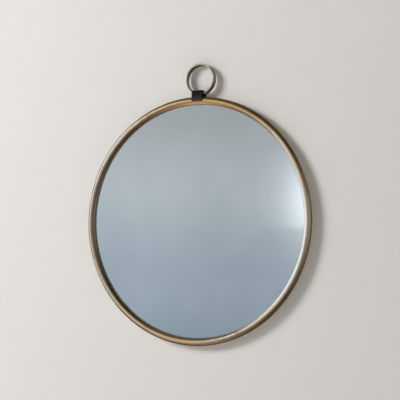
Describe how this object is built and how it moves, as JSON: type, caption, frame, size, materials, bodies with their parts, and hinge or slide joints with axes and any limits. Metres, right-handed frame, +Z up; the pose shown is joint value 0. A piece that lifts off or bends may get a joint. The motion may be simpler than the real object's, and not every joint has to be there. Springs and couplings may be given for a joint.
{
  "type": "round wall mirror",
  "caption": "Round wall mirror in a slim antique gold tube hoop, topped by a flat band ring held in a black leather loop, with a clip-held backing board and a keyhole hanger.",
  "frame": {"origin": "middle of the keyhole's round hole, on the rear face of the hanger plate", "axes": "+X to the right seen from the front, +Y into the wall, +Z up; the glass faces -Y"},
  "size_m": [0.61, 0.0285, 0.6923],
  "materials": {
    "gilt_tube": "antique gold leaf on steel tube, satin",
    "gilt_ring": "pale aged gold on steel band, satin",
    "silvered_glass": "silvered float glass, polished",
    "foam_tape": "white closed-cell foam tape",
    "board": "brown hardboard, smooth",
    "zinc_steel": "bright zinc plate",
    "black_steel": "black oxide",
    "black_leather": "black grained leather, burnished edges",
    "pad_rubber": "black rubber, matt"
  },
  "bodies": {
    "frame": {"hoop_tube": "gilt_tube", "mirror_glass": "silvered_glass", "mirror_tape": "foam_tape", "backing_board": "board", "clip_bosses": "zinc_steel", "clip_washers": "zinc_steel", "clip_screws": "zinc_steel", "keyhole_hanger": "zinc_steel", "hanger_screws": "zinc_steel", "strap": "black_leather", "strap_washer": "black_steel", "strap_screw": "black_steel", "wall_pad_1": "pad_rubber", "wall_pad_2": "pad_rubber", "wall_pad_3": "pad_rubber", "wall_pad_4": "pad_rubber"},
    "ring": {"ring": "gilt_ring"},
    "turn_clip_1": {"turn_clip_1": "zinc_steel"},
    "turn_clip_2": {"turn_clip_2": "zinc_steel"},
    "turn_clip_3": {"turn_clip_3": "zinc_steel"},
    "turn_clip_4": {"turn_clip_4": "zinc_steel"},
    "turn_clip_5": {"turn_clip_5": "zinc_steel"},
    "turn_clip_6": {"turn_clip_6": "zinc_steel"}
  },
  "joints": [
    {"name": "ring_swing", "type": "hinge", "parent": "frame", "child": "ring", "pos_m": [0, -0.00207, 0.0939], "axis": [1, 0, 0], "range_deg": [0, 20]},
    {"name": "turn_clip_1_turn", "type": "hinge", "parent": "frame", "child": "turn_clip_1", "pos_m": [0.14775, -0.01232, 0.04091], "axis": [0, 1, 0], "range_deg": [0, 90]},
    {"name": "turn_clip_2_turn", "type": "hinge", "parent": "frame", "child": "turn_clip_2", "pos_m": [0.2955, -0.01232, -0.215], "axis": [0, 1, 0], "range_deg": [0, 90]},
    {"name": "turn_clip_3_turn", "type": "hinge", "parent": "frame", "child": "turn_clip_3", "pos_m": [0.14775, -0.01232, -0.47091], "axis": [0, 1, 0], "range_deg": [0, 90]},
    {"name": "turn_clip_4_turn", "type": "hinge", "parent": "frame", "child": "turn_clip_4", "pos_m": [-0.14775, -0.01232, -0.47091], "axis": [0, 1, 0], "range_deg": [0, 90]},
    {"name": "turn_clip_5_turn", "type": "hinge", "parent": "frame", "child": "turn_clip_5", "pos_m": [-0.2955, -0.01232, -0.215], "axis": [0, 1, 0], "range_deg": [0, 90]},
    {"name": "turn_clip_6_turn", "type": "hinge", "parent": "frame", "child": "turn_clip_6", "pos_m": [-0.14775, -0.01232, 0.04091], "axis": [0, 1, 0], "range_deg": [0, 90]}
  ]
}
